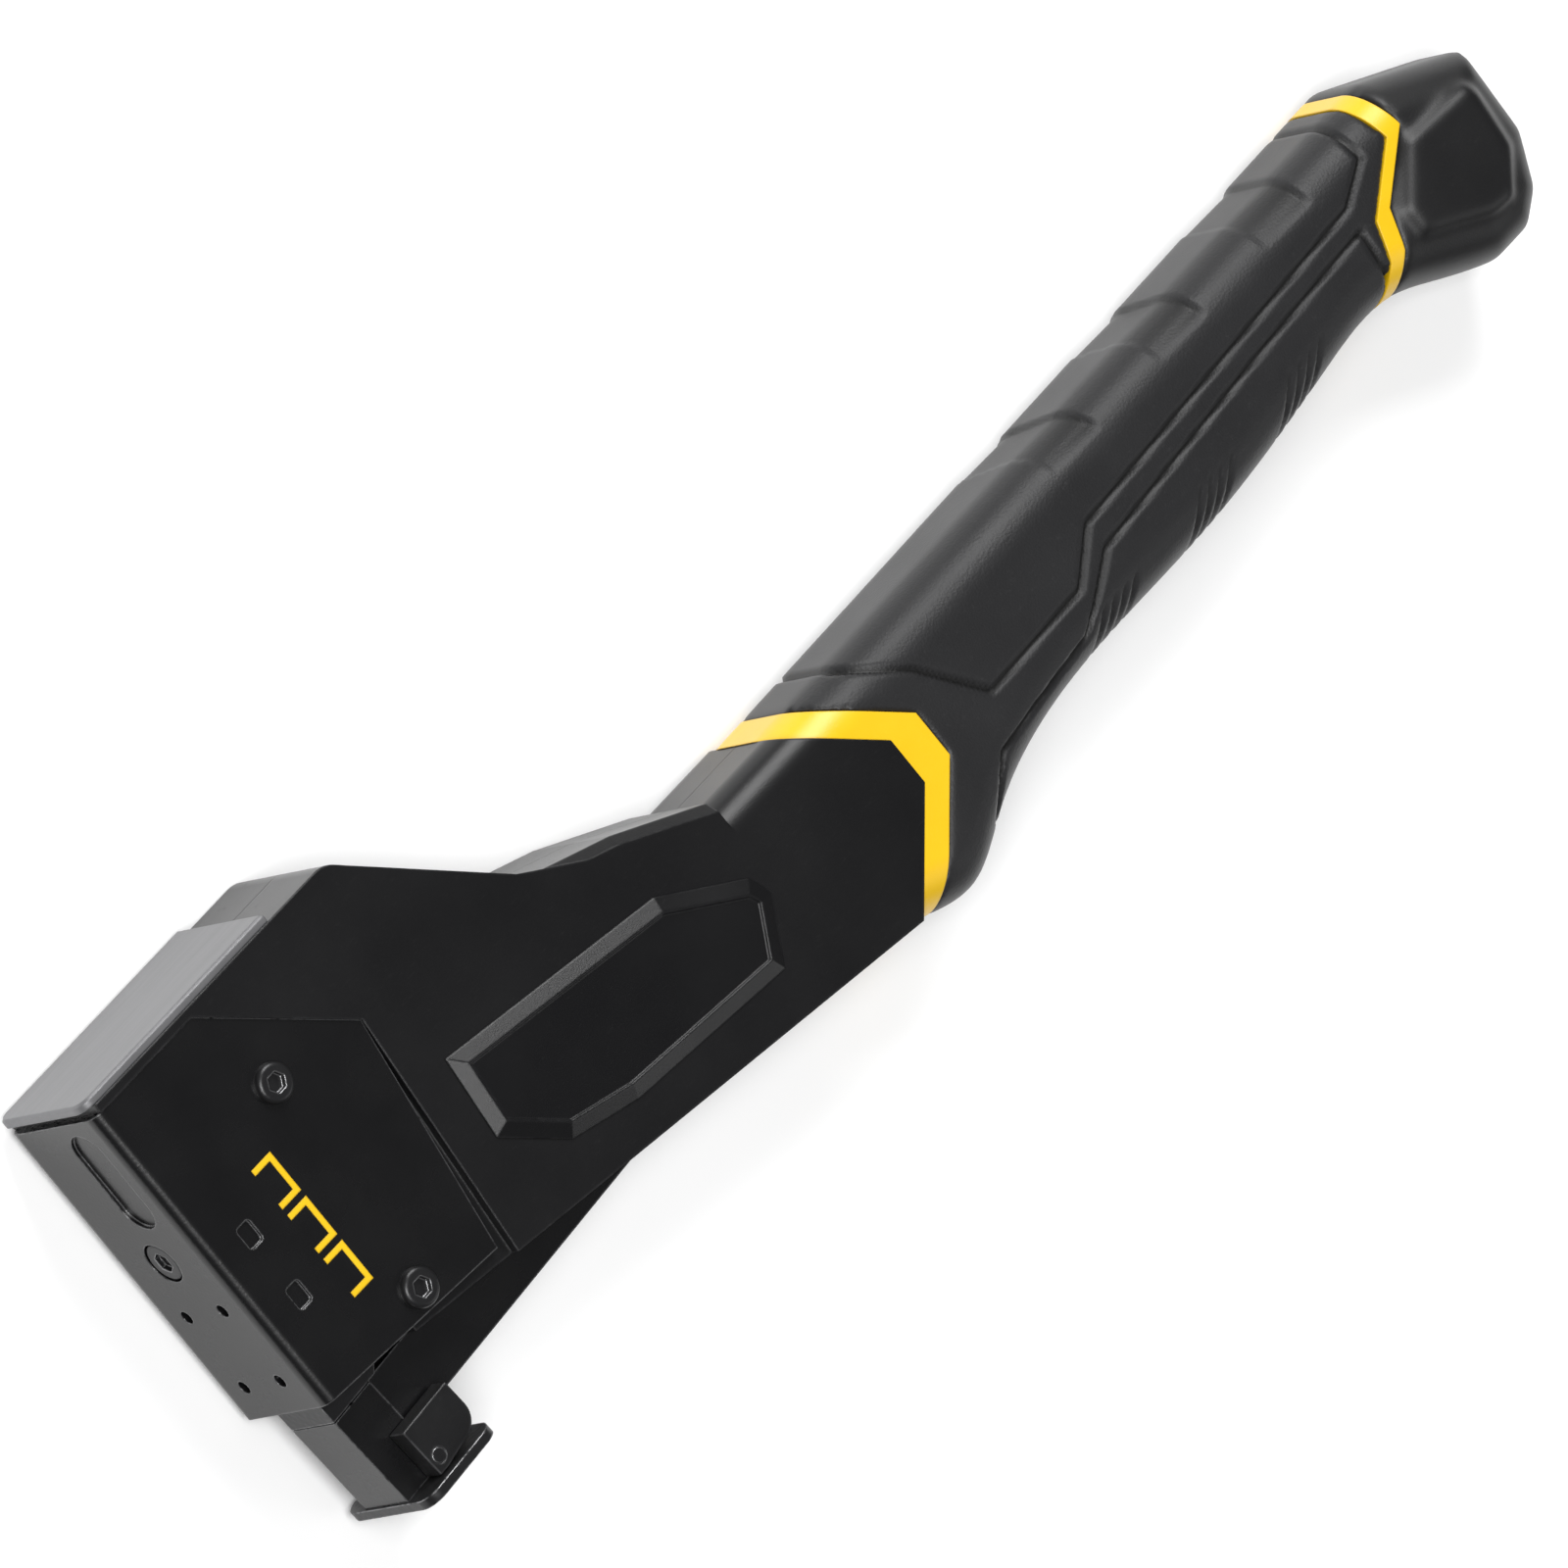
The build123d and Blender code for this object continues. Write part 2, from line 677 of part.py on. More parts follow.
spring_x = -76.0
spring_top = -25.0
spring_foot = pivot_y - 0.6 + (spring_x - 5.5 - pivot_x) * tan(radians(rest_angle)) + channel_top
with BuildPart() as return_spring:
    with BuildSketch(Plane.XZ.offset(-spring_top)):
        with Locations((spring_x, mid)):
            Circle(5.5)
            Circle(4.2, mode=Mode.SUBTRACT)
    extrude(amount=spring_top - spring_foot)
save(return_spring, "return_spring")

# Magazine: the channel that swings on the pivot pin
inner_half = channel_half - channel_wall
with BuildPart() as magazine_channel:
    with BuildSketch(magazine_plane(-channel_half)):
        bar(-7.0, channel_end, channel_top, channel_floor)
    extrude(amount=2 * channel_half)
    with BuildSketch(magazine_plane(-inner_half)):
        bar(-5.8, channel_end + 1.0, channel_top + channel_roof, channel_floor - channel_bottom_wall)
    extrude(amount=2 * inner_half, mode=Mode.SUBTRACT)
    with BuildSketch(magazine_plane(-channel_half)):
        Circle(hinge_r + hinge_gap)
    extrude(amount=2 * channel_half, mode=Mode.SUBTRACT)
    # notch for the latch's tooth, in the floor
    with BuildSketch(magazine_plane(-3.2)):
        bar(channel_end - 8.0, channel_end - 4.0, channel_floor - 2.0, channel_floor + 1.0)
    extrude(amount=6.4, mode=Mode.SUBTRACT)
save(magazine_channel, "magazine_channel")

guide_height = 7.0
guide_length = 17.0
with BuildPart() as blade_guide:
    with BuildSketch(magazine_plane(-nose_half)):
        bar(nose_front - guide_length, nose_front, channel_top - guide_height, channel_top)
    extrude(amount=2 * nose_half)
    chamfer(blade_guide.edges().filter_by(Axis.Z).sort_by(Axis.X)[:1], length=4.0)
    with BuildSketch(magazine_plane(-blade_half - 0.25)):
        bar(staple_front - 2.4, staple_front + blade_arc, channel_top - guide_height - 1.0, channel_top + 1.0)
    extrude(amount=2 * blade_half + 0.5, mode=Mode.SUBTRACT)
save(blade_guide, "blade_guide")

# Drawer: nose, foot, rail and stick slide out to the front together
rail_half = crown / 2 - wire_thk - 0.15
rail_top = crown_top + wire_thk + 0.04
rail_floor = channel_floor - channel_bottom_wall - 0.25
rail_rear = 14.0
latch_pin_at = (channel_end + 2.6, 12.0)
foot_front = nose_front + 0.5

with BuildPart() as latch_pin:
    with BuildSketch(magazine_plane(-latch_half)):
        with Locations(latch_pin_at):
            Circle(latch_pin_r)
    extrude(amount=2 * latch_half)
save(latch_pin, "latch_pin")

chute_half = crown / 2 + 0.3
with BuildPart() as nose:
    with BuildSketch(magazine_plane(-nose_half)):
        bar(staple_front - nose_length, nose_front, channel_top + 0.25, foot_top)
    extrude(amount=2 * nose_half)
    with BuildSketch(magazine_plane(-chute_half)):
        bar(staple_front - nose_length - 1.0, staple_front, channel_top - 1.0, foot_top + 1.0)
    extrude(amount=2 * chute_half, mode=Mode.SUBTRACT)
    with BuildSketch(magazine_plane(-blade_half - 0.2)):
        bar(staple_front - 1.0, staple_front + blade_arc, channel_top - 1.0, foot_top + 1.0)
    extrude(amount=2 * blade_half + 0.4, mode=Mode.SUBTRACT)
    add(latch_pin.part, mode=Mode.SUBTRACT)
save(nose, "nose")

with BuildPart() as foot_plate:
    with BuildSketch(magazine_plane(-foot_half)):
        bar(foot_front - foot_length, foot_front, foot_top, foot_top + foot_thk)
    extrude(amount=2 * foot_half)
    fillet(foot_plate.edges().filter_by(lambda e: abs(e.tangent_at(0.5).Z) < 0.01
           and abs(e.length - foot_thk) < 0.01), radius=4.0)
    with BuildSketch(magazine_plane(-chute_half)):
        bar(rail_front, staple_front + blade_arc, foot_top - 1.0, foot_top + foot_thk + 1.0)
    extrude(amount=2 * chute_half, mode=Mode.SUBTRACT)
save(foot_plate, "foot_plate")

rod_v = 0.8
rod_r = 1.1
with BuildPart() as guide_rod:
    with BuildSketch(along_magazine(rail_rear, rod_v)):
        Circle(rod_r)
    extrude(amount=channel_end - rail_rear + 4.0)
save(guide_rod, "guide_rod")

rail_wall = 1.0
with BuildPart() as staple_rail:
    with BuildSketch(magazine_plane(-rail_half)):
        bar(rail_rear + 2.0, rail_front, rail_top, rail_floor)
        bar(staple_front - nose_length + 0.2, rail_front, rail_top, foot_top)
    extrude(amount=2 * rail_half)
    with BuildSketch(magazine_plane(-rail_half + rail_wall)):
        bar(rail_rear + 1.0, channel_end - 1.0, rail_top + rail_wall, rail_floor + 1.0)
    extrude(amount=2 * (rail_half - rail_wall), mode=Mode.SUBTRACT)
    # slot in the top for the pusher's key
    with BuildSketch(magazine_plane(-1.6)):
        bar(rail_rear + 1.0, staple_front - stick_length - 1.0, rail_top - 1.0, rail_top + rail_wall + 1.0)
    extrude(amount=3.2, mode=Mode.SUBTRACT)
    add(guide_rod.part, mode=Mode.SUBTRACT)
    add(latch_pin.part, mode=Mode.SUBTRACT)
save(staple_rail, "staple_rail")

with BuildPart() as rear_stop:
    with BuildSketch(magazine_plane(-rail_half)):
        bar(rail_rear, rail_rear + 2.0, rail_top, rail_floor)
    extrude(amount=2 * rail_half)
    add(guide_rod.part, mode=Mode.SUBTRACT)
save(rear_stop, "rear_stop")

with BuildPart() as staple_stick:
    with BuildSketch(magazine_plane(-crown / 2)):
        bar(stick_front - stick_length, stick_front, crown_top, crown_top + leg)
    extrude(amount=crown)
    with BuildSketch(magazine_plane(-crown / 2 + wire_thk)):
        bar(stick_front - stick_length - 1.0, stick_front + 1.0, crown_top + wire_thk, crown_top + leg + 1.0)
    extrude(amount=crown - 2 * wire_thk, mode=Mode.SUBTRACT)
save(staple_stick, "staple_stick")

# Pusher behind the stick, with its spring around the rod
pusher_front = stick_front - stick_length - 0.1
pusher_length = 22.0
with BuildPart() as pusher:
    with BuildSketch(magazine_plane(-chute_half + 0.1)):
        bar(pusher_front - pusher_length, pusher_front, rail_top - 0.75, crown_top + leg)
    extrude(amount=2 * chute_half - 0.2)
    with BuildSketch(magazine_plane(-rail_half - 0.1)):
        bar(pusher_front - pusher_length - 1.0, pusher_front + 1.0, rail_top - 0.12, crown_top + leg + 1.0)
    extrude(amount=2 * rail_half + 0.2, mode=Mode.SUBTRACT)
    with BuildSketch(magazine_plane(-1.3)):
        bar(pusher_front - pusher_length + 1.0, pusher_front - 3.0, rail_top - 0.5, rod_v)
    extrude(amount=2.6)
    with BuildSketch(magazine_plane(-2.6)):
        bar(pusher_front - pusher_length + 1.0, pusher_front - 3.0, rod_v - 2.2, rod_v + 2.6)
    extrude(amount=5.2)
    with BuildSketch(along_magazine(0.0, rod_v)):
        Circle(rod_r + 0.2)
    extrude(amount=reach, mode=Mode.SUBTRACT)
save(pusher, "pusher")

with BuildPart() as pusher_spring:
    with BuildSketch(along_magazine(rail_rear + 2.0, rod_v)):
        Circle(2.5)
        Circle(1.6, mode=Mode.SUBTRACT)
    extrude(amount=pusher_front - pusher_length + 1.0 - rail_rear - 2.0)
save(pusher_spring, "pusher_spring")

# Latch block behind the nose, sprung upwards
latch_rear = channel_end + 5.0 - latch_length
latch_front = latch_rear + latch_length
latch_floor = foot_top - 0.3
with BuildPart() as release_latch:
    with BuildSketch(magazine_plane(-latch_half)):
        outline([
            (latch_rear, latch_floor - latch_drop),
            (latch_front, latch_floor - latch_drop),
            (latch_front, latch_floor),
            (latch_pin_at[0], latch_floor),
            (latch_rear, latch_floor - 1.4),
        ])
    extrude(amount=2 * latch_half)
    fillet(release_latch.edges().filter_by(Axis.Z).group_by(Axis.X)[0].sort_by(Axis.Y)[-1], radius=4.5)
    # room for the channel and for the nose between the ears
    with BuildSketch(magazine_plane(-nose_half - 0.3)):
        bar(latch_rear - 1.0, latch_front + 1.0, 0.0, channel_floor + 1.4)
        bar(channel_end, latch_front + 1.0, 0.0, foot_top + 1.0)
    extrude(amount=2 * nose_half + 0.6, mode=Mode.SUBTRACT)
    # tooth that reaches up to the notch
    with BuildSketch(magazine_plane(-2.8)):
        bar(channel_end - 7.4, channel_end - 4.6, channel_floor + 0.2, channel_floor + 2.0)
    extrude(amount=5.6)
    with BuildSketch(magazine_plane(-latch_half - 1.0)):
        with Locations(latch_pin_at):
            Circle(latch_pin_r + hinge_gap)
    extrude(amount=2 * latch_half + 2.0, mode=Mode.SUBTRACT)
    latch_spring_u = channel_end - 4.4
    rod_plane = magazine_plane()
    spring_base = rod_plane.from_local_coords((latch_spring_u, foot_top, 0))
    with BuildSketch(Plane(spring_base, x_dir=(0, 0, 1), z_dir=-rod_plane.y_dir)):
        Circle(2.4)
    extrude(amount=4.5, mode=Mode.SUBTRACT)
save(release_latch, "release_latch")

with BuildPart() as latch_spring:
    with BuildSketch(Plane(spring_base, x_dir=(0, 0, 1), z_dir=-rod_plane.y_dir)):
        Circle(2.1)
        Circle(1.4, mode=Mode.SUBTRACT)
    extrude(amount=4.4)
save(latch_spring, "latch_spring")
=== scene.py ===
import json
import math
import bpy
import bmesh
from mathutils import Matrix, Vector


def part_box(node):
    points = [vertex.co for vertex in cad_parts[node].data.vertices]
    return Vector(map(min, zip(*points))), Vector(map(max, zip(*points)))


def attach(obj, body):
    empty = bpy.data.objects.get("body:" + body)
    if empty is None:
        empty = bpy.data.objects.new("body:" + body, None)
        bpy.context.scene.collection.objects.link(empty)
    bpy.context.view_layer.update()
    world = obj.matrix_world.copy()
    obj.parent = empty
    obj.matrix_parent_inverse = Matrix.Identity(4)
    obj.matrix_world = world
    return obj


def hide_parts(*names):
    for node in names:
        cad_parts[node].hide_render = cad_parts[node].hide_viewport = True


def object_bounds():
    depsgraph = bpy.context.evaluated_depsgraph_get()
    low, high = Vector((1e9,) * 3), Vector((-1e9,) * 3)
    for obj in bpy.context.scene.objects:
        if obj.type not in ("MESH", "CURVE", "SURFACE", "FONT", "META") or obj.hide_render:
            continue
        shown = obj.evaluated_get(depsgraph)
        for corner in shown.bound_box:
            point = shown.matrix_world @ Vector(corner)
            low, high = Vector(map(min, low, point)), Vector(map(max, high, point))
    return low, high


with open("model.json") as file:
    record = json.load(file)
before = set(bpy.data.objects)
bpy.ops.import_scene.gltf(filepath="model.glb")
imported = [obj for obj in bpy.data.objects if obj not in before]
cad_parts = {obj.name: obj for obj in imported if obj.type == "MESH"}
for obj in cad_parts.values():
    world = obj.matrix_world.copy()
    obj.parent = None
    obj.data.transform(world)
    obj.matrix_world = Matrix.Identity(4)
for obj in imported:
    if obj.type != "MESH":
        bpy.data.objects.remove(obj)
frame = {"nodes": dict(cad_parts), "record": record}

# Hammer tacker on its far flank. Metres; X runs forward along the handle, Y is the blow, Z is up.

cadBox = [list(corner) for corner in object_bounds()]
nodes = frame["nodes"]
mm = 0.001
print("frame loaded:", len(nodes), "nodes")


def dropSelection():
    if bpy.context.object and bpy.context.object.mode != "OBJECT":
        bpy.ops.object.mode_set(mode="OBJECT")
    bpy.ops.object.select_all(action="DESELECT")


def onlyActive(thing):
    dropSelection()
    thing.select_set(True)
    bpy.context.view_layer.objects.active = thing


def settle(thing):
    # place, turn and scale go into the mesh
    onlyActive(thing)
    bpy.ops.object.transform_apply(location=True, rotation=True, scale=True)


def addModifier(thing, kind, **settings):
    onlyActive(thing)
    modifier = thing.modifiers.new(kind.lower(), kind)
    for key, value in settings.items():
        setattr(modifier, key, value)
    bpy.ops.object.modifier_apply(modifier=modifier.name)


# camera, far off, so that parallel edges stay parallel
cameraPlan = {
    "aim": Vector((-0.1621, -0.0038, 0.0110)),
    "right": Vector((-0.617, 0.608, 0.499)),
    "up": Vector((-0.657, -0.748, 0.099)),
    "distance": 9.0,
    "frameWidth": 0.2947,
    "sensor": 36.0,
}


def makeCamera(plan):
    right = plan["right"].normalized()
    back = right.cross(plan["up"]).normalized()
    up = back.cross(right)
    data = bpy.data.cameras.new("camera")
    data.sensor_width = plan["sensor"]
    data.lens = plan["sensor"] * plan["distance"] / plan["frameWidth"]
    data.clip_end = 40.0
    camera = bpy.data.objects.new("camera", data)
    bpy.context.scene.collection.objects.link(camera)
    turn = Matrix((right, up, back)).transposed().to_4x4()
    camera.matrix_world = Matrix.Translation(plan["aim"] + back * plan["distance"]) @ turn
    bpy.context.scene.camera = camera


makeCamera(cameraPlan)
print("camera set")


# shader helpers: a wire is one socket, and sums on wires add Math nodes
class Wire:
    def __init__(self, tree, socket):
        self.tree = tree
        self.socket = socket

    def sums(self, kind, other=None, flipped=False):
        node = self.tree.nodes.new("ShaderNodeMath")
        node.operation = kind
        pair = [self] if other is None else ([other, self] if flipped else [self, other])
        for place, value in zip(node.inputs, pair):
            plug(self.tree, place, value)
        return Wire(self.tree, node.outputs[0])

    def __add__(self, other):
        return self.sums("ADD", other)

    def __radd__(self, other):
        return self.sums("ADD", other, True)

    def __sub__(self, other):
        return self.sums("SUBTRACT", other)

    def __rsub__(self, other):
        return self.sums("SUBTRACT", other, True)

    def __mul__(self, other):
        return self.sums("MULTIPLY", other)

    def __rmul__(self, other):
        return self.sums("MULTIPLY", other, True)

    def __truediv__(self, other):
        return self.sums("DIVIDE", other)

    def __pow__(self, other):
        return self.sums("POWER", other)

    def above(self, low, high):
        # 0 below low, 1 above high, straight between
        span = self.tree.nodes.new("ShaderNodeMapRange")
        for place, value in zip(("Value", "From Min", "From Max"), (self, low, high)):
            plug(self.tree, span.inputs[place], value)
        return Wire(self.tree, span.outputs[0])


def plug(tree, place, value):
    if isinstance(value, Wire):
        tree.links.new(value.socket, place)
    elif isinstance(value, tuple) and len(value) == 3 and len(place.default_value) == 4:
        place.default_value = (*value, 1.0)
    else:
        place.default_value = value


bevelSamples = 6
edgeSpan = (0.01, 0.16)


class Finish:
    def __init__(self, name):
        self.material = bpy.data.materials.new(name)
        self.material.use_nodes = True
        self.tree = self.material.node_tree
        self.shader = self.tree.nodes["Principled BSDF"]
        self.coords = self.node("ShaderNodeTexCoord", {}, {}, "Object")

    def node(self, kind, settings, sockets, output=0):
        made = self.tree.nodes.new(kind)
        for key, value in settings.items():
            setattr(made, key, value)
        for key, value in sockets.items():
            plug(self.tree, made.inputs[key], value)
        return Wire(self.tree, made.outputs[output])

    def noise(self, scale, detail=2.0, vector=None, rough=0.5):
        sockets = {"Vector": vector or self.coords, "Scale": scale, "Detail": detail, "Roughness": rough}
        return self.node("ShaderNodeTexNoise", {}, sockets, "Fac")

    def turned(self, scale, turn=(0.0, 0.0, 0.0)):
        # object coordinates stretched and turned
        sockets = {"Vector": self.coords, "Scale": scale, "Rotation": turn}
        return self.node("ShaderNodeMapping", {}, sockets)

    def tint(self, amount, first, second):
        # inputs 6 and 7 and output 2 of a Mix node are its colours
        made = self.tree.nodes.new("ShaderNodeMix")
        made.data_type = "RGBA"
        plug(self.tree, made.inputs[0], amount)
        plug(self.tree, made.inputs[6], first)
        plug(self.tree, made.inputs[7], second)
        return Wire(self.tree, made.outputs[2])

    def edges(self, radius):
        # 1 along sharp edges, 0 on flat ground
        soft = self.node("ShaderNodeBevel", {"samples": bevelSamples}, {"Radius": radius})
        true = self.node("ShaderNodeNewGeometry", {}, {}, "Normal")
        match = {"operation": "DOT_PRODUCT"}
        near = self.node("ShaderNodeVectorMath", match, {0: soft, 1: true}, "Value")
        return (1.0 - near).above(*edgeSpan)

    def set(self, **sockets):
        for key, value in sockets.items():
            plug(self.tree, self.shader.inputs[key.replace("_", " ")], value)

    def relief(self, height, depth, rounding=0.0):
        sockets = {"Height": height, "Distance": depth, "Strength": 1.0}
        if rounding:
            softened = {"Radius": rounding}
            sockets["Normal"] = self.node("ShaderNodeBevel", {"samples": bevelSamples}, softened)
        self.set(Normal=self.node("ShaderNodeBump", {}, sockets))


# marks of use that every piece of one recipe shares; scales count per metre
plasticUse = {
    "scuffScale": 420.0,
    "scuffStretch": (1.0, 6.0, 1.0),
    "scuffTurn": (0.0, 0.0, 0.7),
    "scuffGrit": 0.62,
    "scuffSpan": (0.62, 0.74),
    "scuffRough": 0.10,
    "scuffRelief": 0.3,
    "edge": 0.7 * mm,
    "wearScale": 260.0,
    "wearSpan": (0.35, 0.7),
}
steelUse = {
    "patchScale": 70.0,
    "lineScale": 900.0,
    "lineStretch": (0.06, 1.0, 1.0),
    "lineRelief": 3.0,
    "edge": 0.5 * mm,
    "chipScale": 700.0,
    "chipSpan": 0.2,
    "bare": (0.36, 0.36, 0.37),
    "roughSwing": 0.12,
    "gloss": 0.5,
}
rubberUse = {
    "patchScale": 55.0,
    "dustScale": 800.0,
    "dustGrit": 0.7,
    "dustSpan": (0.60, 0.78),
    "dustShare": 0.35,
    "dustRough": 0.06,
    # painted shade: the near-black tint laid into the grip's grooves, finger steps and ribs
    "grooveShadeSpan": (0.15, 0.75),
    "grooveShadeTint": (0.001, 0.001, 0.001),
    "roughSwing": 0.14,
    "sheenRough": 0.45,
    "stippleRelief": 0.7,
    "fineScale": 2600.0,
    "fineRelief": 0.5,
}
wireUse = {
    "patchScale": 160.0,
    "rough": 0.30,
    "roughScale": 900.0,
    "roughSwing": 0.16,
    "gapRough": 0.3,
    "gapDull": 0.4,
}


def mouldedPlastic(name, plan):
    made = Finish(name)
    patches = made.noise(plan["patchScale"], 3.0)
    grain = made.noise(plan["grainScale"], 2.0)
    use = plasticUse
    drawn = made.turned(use["scuffStretch"], use["scuffTurn"])
    scuffs = made.noise(use["scuffScale"], 4.0, drawn, use["scuffGrit"]).above(*use["scuffSpan"])
    worn = made.edges(use["edge"]) * made.noise(use["wearScale"], 3.0).above(*use["wearSpan"])
    base = made.tint(patches, plan["dark"], plan["light"])
    made.set(Base_Color=made.tint(worn * plan["wear"], base, plan["worn"]))
    swing = (patches - 0.5) * plan["roughSwing"]
    made.set(Roughness=plan["rough"] + swing + scuffs * use["scuffRough"])
    made.shader.inputs["Specular IOR Level"].default_value = plan["gloss"]
    made.relief(grain + scuffs * use["scuffRelief"], plan["grainDepth"], plan["rounding"])
    return made.material


def paintedSteel(name, plan):
    made = Finish(name)
    peel = made.noise(plan["peelScale"], 1.5)
    use = steelUse
    patches = made.noise(use["patchScale"], 4.0)
    brushed = made.turned(use["lineStretch"], (0.0, 0.0, plan["brushTurn"]))
    lines = made.noise(use["lineScale"], 3.0, brushed)
    chipEnd = plan["chipFrom"] + use["chipSpan"]
    chips = made.edges(use["edge"]) * made.noise(use["chipScale"], 4.0).above(plan["chipFrom"], chipEnd)
    base = made.tint(patches, plan["dark"], plan["light"])
    made.set(Base_Color=made.tint(chips * plan["wear"], base, use["bare"]))
    made.set(Metallic=plan["metal"] + chips * plan["wear"] * (1.0 - plan["metal"]))
    swing = (patches - 0.5) * use["roughSwing"]
    made.set(Roughness=plan["rough"] + swing + lines * plan["brushing"])
    made.shader.inputs["Specular IOR Level"].default_value = use["gloss"]
    made.relief(peel + lines * plan["brushing"] * use["lineRelief"], plan["peelDepth"], plan["rounding"])
    return made.material


def softRubber(name, plan):
    made = Finish(name)
    use = rubberUse
    cells = {"Vector": made.coords, "Scale": plan["stippleScale"]}
    stipple = made.node("ShaderNodeTexVoronoi", {}, cells, "Distance")
    patches = made.noise(use["patchScale"], 4.0)
    dust = made.noise(use["dustScale"], 5.0, None, use["dustGrit"]).above(*use["dustSpan"])
    base = made.tint(patches, plan["dark"], plan["light"])
    dustAndGrooveShade = made.tint(dust * use["dustShare"], base, plan["dust"])
    if plan["grooved"]:
        # painted shade: the deeper a groove, finger step or rib is pressed in, the nearer to black its base
        # colour, on top of the real dust
        grooveShade = made.node("ShaderNodeAttribute", {"attribute_name": "grooveShade"}, {}, "Fac")
        dustAndGrooveShade = made.tint(grooveShade.above(*use["grooveShadeSpan"]), dustAndGrooveShade, use["grooveShadeTint"])
    made.set(Base_Color=dustAndGrooveShade)
    swing = (patches - 0.5) * use["roughSwing"]
    made.set(Roughness=plan["rough"] + swing + dust * use["dustRough"])
    made.shader.inputs["Specular IOR Level"].default_value = plan["gloss"]
    made.shader.inputs["Sheen Weight"].default_value = plan["sheen"]
    made.shader.inputs["Sheen Roughness"].default_value = use["sheenRough"]
    fine = stipple * use["stippleRelief"] + made.noise(use["fineScale"]) * use["fineRelief"]
    made.relief(fine, plan["stippleDepth"], plan["rounding"])
    return made.material


def stripedSteel(name, plan):
    # fine wires side by side, or the turns of a spring
    made = Finish(name)
    along = made.turned((1.0, 1.0, 1.0), (0.0, 0.0, plan["turn"]))
    parts = made.node("ShaderNodeSeparateXYZ", {}, {"Vector": along}, plan["axis"])
    wave = (parts * (2.0 * math.pi / plan["pitch"])).sums("SINE") * 0.5 + 0.5
    gaps = 1.0 - wave.above(0.0, plan["gap"])
    use = wireUse
    base = made.tint(made.noise(use["patchScale"], 3.0), plan["dark"], plan["light"])
    # painted shade: the gaps between neighbouring wires or spring turns get a dark base colour
    made.set(Base_Color=made.tint(gaps, base, plan["between"]))
    swing = made.noise(use["roughScale"]) * use["roughSwing"]
    made.set(Roughness=use["rough"] + swing + gaps * use["gapRough"])
    made.set(Metallic=1.0 - gaps * use["gapDull"])
    made.relief(wave ** 0.5, plan["depth"])
    return made.material


plasticPlans = {
    "black_shell": {"dark": (0.0045, 0.0045, 0.005), "light": (0.0075, 0.0075, 0.008),
                    "worn": (0.055, 0.055, 0.058), "rough": 0.33, "roughSwing": 0.14, "gloss": 0.32,
                    "patchScale": 38.0, "grainScale": 3600.0, "grainDepth": 0.022 * mm, "wear": 0.5,
                    "rounding": 0.7 * mm},
    "panel_black": {"dark": (0.0035, 0.0035, 0.004), "light": (0.006, 0.006, 0.0065),
                    "worn": (0.05, 0.05, 0.052), "rough": 0.28, "roughSwing": 0.12, "gloss": 0.38,
                    "patchScale": 45.0, "grainScale": 4200.0, "grainDepth": 0.012 * mm, "wear": 0.6,
                    "rounding": 0.5 * mm},
    "yellow_plastic": {"dark": (0.64, 0.39, 0.004), "light": (0.74, 0.46, 0.008),
                       "worn": (0.72, 0.42, 0.03), "rough": 0.36, "roughSwing": 0.12, "gloss": 0.5,
                       "patchScale": 80.0, "grainScale": 3800.0, "grainDepth": 0.02 * mm,
                       "wear": 0.4, "rounding": 0.5 * mm},
    "butt_black": {"dark": (0.004, 0.004, 0.0045), "light": (0.008, 0.008, 0.0085),
                   "worn": (0.04, 0.04, 0.042), "rough": 0.42, "roughSwing": 0.14, "gloss": 0.4,
                   "patchScale": 50.0, "grainScale": 3000.0, "grainDepth": 0.03 * mm, "wear": 0.4,
                   "rounding": 0.8 * mm},
    "latch_black": {"dark": (0.005, 0.005, 0.0055), "light": (0.009, 0.009, 0.0095),
                    "worn": (0.09, 0.09, 0.095), "rough": 0.30, "roughSwing": 0.14, "gloss": 0.5,
                    "patchScale": 90.0, "grainScale": 3600.0, "grainDepth": 0.02 * mm, "wear": 0.7,
                    "rounding": 0.6 * mm},
    "pusher_plastic": {"dark": (0.010, 0.010, 0.011), "light": (0.018, 0.018, 0.019),
                       "worn": (0.08, 0.08, 0.08), "rough": 0.45, "roughSwing": 0.12, "gloss": 0.4,
                       "patchScale": 120.0, "grainScale": 4000.0, "grainDepth": 0.02 * mm,
                       "wear": 0.4, "rounding": 0.3 * mm},
}
